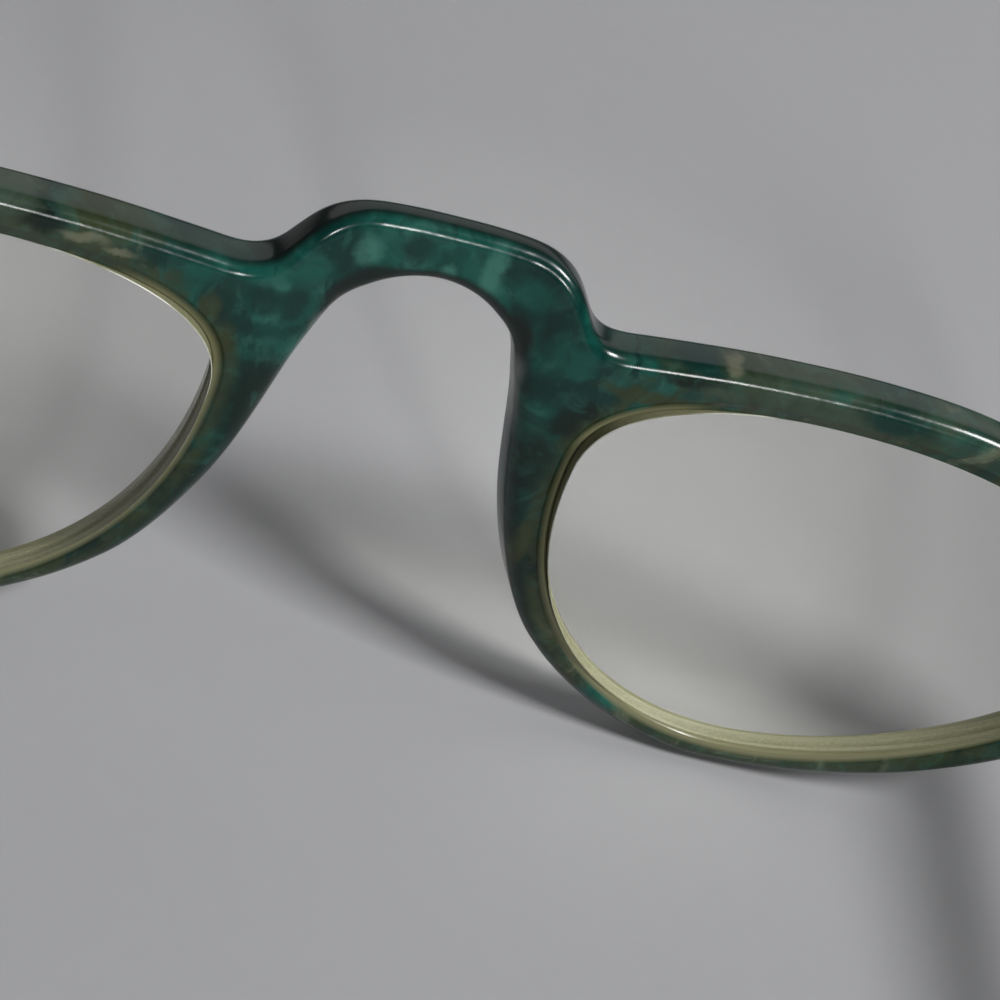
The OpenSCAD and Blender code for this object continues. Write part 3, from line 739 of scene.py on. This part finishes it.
class Signal:
    """A node's output, so that shader maths reads as an expression."""

    def __init__(self, graph, socket):
        self.graph = graph
        self.socket = socket

    def _maths(self, operation, left, right):
        return self.graph.add("ShaderNodeMath", {"operation": operation}, {0: left, 1: right})

    def __add__(self, other):
        return self._maths("ADD", self, other)

    def __radd__(self, other):
        return self._maths("ADD", other, self)

    def __sub__(self, other):
        return self._maths("SUBTRACT", self, other)

    def __rsub__(self, other):
        return self._maths("SUBTRACT", other, self)

    def __mul__(self, other):
        return self._maths("MULTIPLY", self, other)

    def __rmul__(self, other):
        return self._maths("MULTIPLY", other, self)

    def __abs__(self):
        return self.graph.add("ShaderNodeMath", {"operation": "ABSOLUTE"}, {0: self})

    def between(self, low, high):
        """0 below low and 1 above high, with a soft step."""
        return self.graph.add("ShaderNodeMapRange", {"interpolation_type": "SMOOTHSTEP"},
                              {"Value": self, "From Min": low, "From Max": high})


class Graph:
    """The nodes of one material."""

    def __init__(self, name):
        self.material = bpy.data.materials.new(name)
        self.material.use_nodes = True
        self.tree = self.material.node_tree
        self.tree.nodes.clear()

    def add(self, kind, settings=None, inputs=None, output=0):
        """A node of this kind with its settings and its inputs; returns one of its outputs, if any."""
        node = self.tree.nodes.new(kind)
        for name, value in (settings or {}).items():
            setattr(node, name, value)
        for name, value in (inputs or {}).items():
            if isinstance(value, Signal):
                self.tree.links.new(value.socket, node.inputs[name])
            else:
                node.inputs[name].default_value = value
        return None if output is None else Signal(self, node.outputs[output])

    def blend(self, factor, first, second):
        """One colour turning into another as factor goes from 0 to 1."""
        def full(value):
            return value if isinstance(value, Signal) else (*value, 1)
        return self.add("ShaderNodeMix", {"data_type": "RGBA"},
                        {0: factor, 6: full(first), 7: full(second)}, 2)

    def noise(self, vector, scale, detail=3, roughness=0.5, distortion=0, output=0):
        return self.add("ShaderNodeTexNoise", {}, {
            "Vector": vector, "Scale": scale, "Detail": detail, "Roughness": roughness,
            "Distortion": distortion}, output)

    def vector(self, operation, first, second):
        return self.add("ShaderNodeVectorMath", {"operation": operation}, {0: first, 1: second})

    def separated(self, vector, axis):
        return self.add("ShaderNodeSeparateXYZ", {}, {0: vector}, axis)

    def length(self, vector):
        return self.add("ShaderNodeVectorMath", {"operation": "LENGTH"}, {0: vector}, "Value")

    def scaled(self, vector, factor):
        return self.add("ShaderNodeVectorMath", {"operation": "SCALE"}, {0: vector, "Scale": factor})

    def mask(self, name):
        """A mask that the mesh carries."""
        return self.add("ShaderNodeAttribute", {"attribute_name": name}, output="Fac")

    def finish(self, shader):
        """The material with this shader as its surface."""
        self.add("ShaderNodeOutputMaterial", {}, {"Surface": shader}, output=None)
        return self.material

    def plain(self, inputs):
        """The material with one Principled shader with these inputs."""
        return self.finish(self.add("ShaderNodeBsdfPrincipled", {}, inputs))


def shaded(colour, factor):
    """A lighter or darker shade of a colour."""
    return [value * factor for value in colour]


def millimetres(graph):
    """Object coordinates in millimetres."""
    return graph.scaled(graph.add("ShaderNodeTexCoord", output="Object"), 1 / MM)


def acetate_material(colours):
    """Marbled acetate: dark and pale clouds in teal, with olive and tan ones along the rims."""
    graph = Graph("acetate_marbled")
    place = millimetres(graph)
    across = abs(graph.separated(place, 0))
    drift = graph.vector("SUBTRACT", graph.noise(place, 0.16, 2, 0.5, output=1), (0.5, 0.5, 0.5))
    ripple = graph.vector("SUBTRACT", graph.noise(place, 0.7, 3, 0.55, output=1), (0.5, 0.5, 0.5))
    swirl = graph.vector("ADD", graph.scaled(drift, 7), graph.scaled(ripple, 1.6))
    swirled = graph.vector("ADD", place, swirl)
    drawn = graph.vector("MULTIPLY", swirled, (1, 0.7, 0.55))

    # Teal with dark and pale clouds, darker at the roots of the bridge and down the flanks
    clouds = graph.noise(drawn, 0.24, 2, 0.5, 0.25)
    strands = graph.noise(drawn, 0.5, 3, 0.55, 0.6)
    shade = graph.blend(clouds.between(0.36, 0.55), colours.deep, colours.teal)
    shade = graph.blend(clouds.between(0.52, 0.72) * 0.6, shade, colours.pale)
    shade = graph.blend(strands.between(0.54, 0.7) * 0.3, shade, colours.pale)
    shade = graph.blend((1 - strands.between(0.3, 0.45)) * 0.6, shade, colours.deep)
    height = graph.separated(place, 2)
    bands = graph.add("ShaderNodeTexWave", {"bands_direction": "Z"}, {
        "Vector": place, "Scale": 0.13, "Distortion": 5, "Detail": 2, "Detail Scale": 0.4}, "Fac")
    root = across.between(6.5, 8.5) * (1 - across.between(11, 14))
    shade = graph.blend(root * bands.between(0.45, 0.95) * 0.6, shade, colours.deep)
    darker = (1 - height.between(14, 23)) * clouds.between(0.12, 0.42) * 0.88
    shade = graph.blend(darker, shade, colours.night)

    # Olive, sage and tan along the rims
    lens_edge = graph.mask("lens_edge")
    patches = graph.noise(drawn, 0.3, 3, 0.6, 0.5)
    away = across.between(11, 17) * (height.between(14, 26) * 0.65 + 0.35)
    olive = away * patches.between(0.38, 0.56) * 0.85
    olive = olive + lens_edge.between(0.3, 1) * patches.between(0.36, 0.56) * 0.8 * (1 - olive)
    shade = graph.blend(olive, shade, colours.olive)
    shade = graph.blend(across.between(12, 24) * (1 - across.between(38, 54)) * 0.42, shade, colours.sage)
    tan_clouds = graph.noise(drawn, 0.4, 3, 0.6, 0.6).between(0.56, 0.74)
    shade = graph.blend(across.between(13, 20) * tan_clouds * 0.7, shade, colours.tan)

    # The placed patches, and fine wisps over them
    warped = graph.vector("ADD", place, graph.scaled(ripple, 1.3))
    for finish, x, z, wide, high in PATCHES:
        off = graph.vector("SUBTRACT", warped, (x, 0, z))
        off = graph.vector("MULTIPLY", off, (1 / wide, 0, 1 / high))
        inside = 1 - graph.length(off).between(0.4, 1.25)
        shade = graph.blend(inside * 0.9, shade, getattr(colours, finish))
    wisps = graph.noise(drawn, 0.8, 2, 0.55, 0.3)
    shade = graph.blend(wisps.between(0.52, 0.74) * 0.2, shade, colours.pale)
    shade = graph.blend((1 - wisps.between(0.28, 0.5)) * 0.25, shade, colours.night)

    # Painted shade on the upper edges and the bridge, painted sheen on the lower edges and flanks, and the
    # bevel round the lenses
    cut = graph.mask("cut_edge")
    shade_and_sheen = graph.blend(height.between(27.5, 29.5), colours.flank, colours.edge)
    shade = graph.blend(cut * 0.9, shade, shade_and_sheen)
    bevel = graph.mask("lens_bevel")
    shade = graph.blend(bevel, shade, colours.khaki)

    # Polish, with a slight waviness
    shine = graph.noise(place, 0.9, 2) * 0.08 + 0.14
    wave = graph.noise(place, 0.5, 2)
    bump = graph.add("ShaderNodeBump", {}, {"Strength": 0.08, "Distance": 0.0004, "Height": wave})
    return graph.plain({"Base Color": shade, "Roughness": shine, "Normal": bump, "IOR": REFRACTION,
                        "Specular IOR Level": 0.38})


def lens_material(colours):
    """Clear lens that lets lamp light through to the floor."""
    graph = Graph("lens_clear")
    tint = (*colours.lens, 1)
    glass = graph.add("ShaderNodeBsdfPrincipled", {}, {
        "Base Color": tint, "Roughness": 0.015, "IOR": REFRACTION, "Transmission Weight": 1.0})
    open_way = graph.add("ShaderNodeBsdfTransparent", {}, {"Color": tint})
    shadow = graph.add("ShaderNodeLightPath", output="Is Shadow Ray")
    return graph.finish(graph.add("ShaderNodeMixShader", {}, {0: shadow * 0.92, 1: glass, 2: open_way}))


def ground_edge_material(colours):
    """The matt ground edge of a lens."""
    graph = Graph("lens_ground_edge")
    grain = graph.noise(millimetres(graph), 6, 3, 0.6)
    paler = shaded(colours.ground_edge, 1.35)
    shade = graph.blend(grain.between(0.35, 0.7), colours.ground_edge, paler)
    return graph.plain({"Base Color": shade, "Roughness": grain * 0.2 + 0.4, "IOR": REFRACTION})


def arris_material(colours):
    """A painted highlight: the fine bright line along the lens edge."""
    graph = Graph("lens_arris")
    glint = graph.noise(millimetres(graph), 0.35, 3, 0.6)
    shade = graph.blend(glint.between(0.35, 0.65), colours.ground_edge, colours.arris_glint)
    return graph.plain({"Base Color": shade, "Roughness": glint * 0.2 + 0.15, "IOR": REFRACTION})


def metal_material(colours):
    """Polished nickel silver with fine rubbing marks."""
    graph = Graph("metal_polished")
    stretched = graph.vector("MULTIPLY", millimetres(graph), (6, 1.2, 14))
    marks = graph.noise(stretched, 1.2, 4, 0.65)
    shade = graph.blend(marks.between(0.3, 0.75), shaded(colours.metal, 0.8), colours.metal)
    bump = graph.add("ShaderNodeBump", {}, {"Strength": 0.05, "Distance": 0.00005, "Height": marks})
    return graph.plain({"Base Color": shade, "Metallic": 1.0, "Roughness": marks * 0.22 + 0.14,
                        "Normal": bump})


def floor_material(colours):
    """Pale matt floor."""
    graph = Graph("floor_pale")
    haze = graph.noise(millimetres(graph), 0.4, 2)
    shade = graph.blend(haze, colours.floor, shaded(colours.floor, 1.03))
    return graph.plain({"Base Color": shade, "Roughness": 0.85, "Specular IOR Level": 0.2})


def shared_material(name, maker, colours):
    """One material of each kind for the whole scene."""
    return bpy.data.materials.get(name) or maker(colours)


def standing_matrix(shape, temple):
    """From the upright front in millimetres to the standing glasses in metres."""
    # The bend and the rounding of the rims leave this much under them
    under = 0.02
    lift = (shape.half_h + shape.rim_bottom) * cos(shape.lean) - under
    return Matrix.Scale(MM, 4) @ Matrix.Translation((0, temple.middle, lift)) \
        @ Matrix.Rotation(shape.lean, 4, "X")


def measured(scene):
    """The shapes of front and temple, and how they stand."""
    shape = FrontShape(scene.glasses_front)
    temple = TempleShape(shape, scene.glasses_temple)
    return shape, temple, standing_matrix(shape, temple)


class GLASSES_OT_front(bpy.types.Operator):
    """Build the marbled acetate front"""
    bl_idname = "glasses.front"
    bl_label = "Front"

    def execute(self, context):
        scene = context.scene
        acetate = shared_material("acetate_marbled", acetate_material, scene.glasses_finishes)
        shape, _, standing = measured(scene)
        piece = build_front(shape, standing, [acetate])
        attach(piece, "front_body")
        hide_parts("front")
        return {"FINISHED"}


class GLASSES_OT_lenses(bpy.types.Operator):
    """Build both lenses"""
    bl_idname = "glasses.lenses"
    bl_label = "Lenses"

    def execute(self, context):
        scene = context.scene
        clear = shared_material("lens_clear", lens_material, scene.glasses_finishes)
        ground = shared_material("lens_ground_edge", ground_edge_material, scene.glasses_finishes)
        bright = shared_material("lens_arris", arris_material, scene.glasses_finishes)
        shape, _, standing = measured(scene)
        for side, name in SIDE_NAMES.items():
            piece = build_lens(shape, scene.glasses_lens, side, standing, [clear, ground, bright])
            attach(piece, "front_body")
            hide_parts("lens_" + name)
        return {"FINISHED"}


class GLASSES_OT_temples(bpy.types.Operator):
    """Build both temples"""
    bl_idname = "glasses.temples"
    bl_label = "Temples"

    def execute(self, context):
        scene = context.scene
        acetate = shared_material("acetate_marbled", acetate_material, scene.glasses_finishes)
        shape, temple, standing = measured(scene)
        for side, name in SIDE_NAMES.items():
            piece = build_temple(shape, temple, side, standing, [acetate])
            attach(piece, "temple_" + name + "_body")
            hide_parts("temple_" + name)
        return {"FINISHED"}


class GLASSES_OT_metal(bpy.types.Operator):
    """Finish the hinges, screws, rivets and core wires"""
    bl_idname = "glasses.metal"
    bl_label = "Metal parts"

    def execute(self, context):
        metal = shared_material("metal_polished", metal_material, context.scene.glasses_finishes)
        for name in METAL_NODES:
            for material_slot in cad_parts[name].material_slots:
                material_slot.material = metal
        return {"FINISHED"}


class GLASSES_OT_stage(bpy.types.Operator):
    """Set up the floor, the soft lamps and the camera"""
    bl_idname = "glasses.stage"
    bl_label = "Stage"

    def execute(self, context):
        scene = context.scene
        stage = scene.glasses_stage
        shape, _, standing = measured(scene)
        bm = bmesh.new()
        bmesh.ops.create_grid(bm, x_segments=8, y_segments=8, size=FLOOR_HALF)
        bmesh.ops.translate(bm, vec=(0, 0, cad_low.z - FLOOR_GAP), verts=bm.verts)
        mesh = bpy.data.meshes.new("floor")
        bm.to_mesh(mesh)
        bm.free()
        floor = bpy.data.objects.new("floor", mesh)
        scene.collection.objects.link(floor)
        mesh.materials.append(shared_material("floor_pale", floor_material, scene.glasses_finishes))

        toward = Vector((sin(stage.azimuth) * cos(stage.elevation),
                         cos(stage.azimuth) * cos(stage.elevation), sin(stage.elevation)))
        rotation = toward.to_track_quat("Z", "Y") @ Quaternion((0, 0, 1), stage.roll)
        camera_data = bpy.data.cameras.new("camera")
        camera_data.lens = stage.focal
        camera_data.clip_start = NEAREST
        camera = bpy.data.objects.new("camera", camera_data)
        scene.collection.objects.link(camera)
        camera.matrix_world = Matrix.Translation(standing @ Vector(CAMERA_PLACE)) \
            @ Matrix.Rotation(shape.lean, 4, "X") @ rotation.to_matrix().to_4x4()
        scene.camera = camera

        for name, position, wide, high, power in LAMPS:
            lamp = bpy.data.lights.new(name, "AREA")
            lamp.shape = "RECTANGLE"
            lamp.size = wide
            lamp.size_y = high
            lamp.energy = power * stage.light
            holder = bpy.data.objects.new(name, lamp)
            holder.location = position
            holder.rotation_euler = Vector(position).to_track_quat("Z", "Y").to_euler()
            scene.collection.objects.link(holder)
        world = bpy.data.worlds.new("soft_room")
        world.use_nodes = True
        background = world.node_tree.nodes["Background"]
        background.inputs["Color"].default_value = (*ROOM_COLOUR, 1)
        background.inputs["Strength"].default_value = ROOM_STRENGTH
        scene.world = world
        scene.view_settings.view_transform = "Standard"
        return {"FINISHED"}


class GLASSES_PT_panel(bpy.types.Panel):
    """The pieces of the glasses, in the order they are built"""
    bl_idname = "GLASSES_PT_panel"
    bl_label = "Reading glasses"
    bl_space_type = "VIEW_3D"
    bl_region_type = "UI"
    bl_category = "Glasses"

    def draw(self, context):
        for operator in OPERATORS:
            self.layout.operator(operator.bl_idname)
        for name, group in GROUPS.items():
            box = self.layout.box()
            for setting in group.__annotations__:
                box.prop(getattr(context.scene, name), setting)


GROUPS = {"glasses_front": FrontSizes, "glasses_lens": LensSizes, "glasses_temple": TempleSizes,
          "glasses_finishes": Finishes, "glasses_stage": Stage}
OPERATORS = [GLASSES_OT_stage, GLASSES_OT_front, GLASSES_OT_lenses, GLASSES_OT_temples, GLASSES_OT_metal]


def register():
    for group in GROUPS.values():
        bpy.utils.register_class(group)
    for operator in OPERATORS:
        bpy.utils.register_class(operator)
    bpy.utils.register_class(GLASSES_PT_panel)
    for name, group in GROUPS.items():
        setattr(bpy.types.Scene, name, PointerProperty(type=group))


def unregister():
    for name in GROUPS:
        delattr(bpy.types.Scene, name)
    bpy.utils.unregister_class(GLASSES_PT_panel)
    for operator in reversed(OPERATORS):
        bpy.utils.unregister_class(operator)
    for group in reversed(list(GROUPS.values())):
        bpy.utils.unregister_class(group)


def main():
    register()
    bpy.ops.glasses.stage()
    bpy.ops.glasses.front()
    bpy.ops.glasses.lenses()
    bpy.ops.glasses.temples()
    bpy.ops.glasses.metal()


if __name__ == "__main__":
    main()
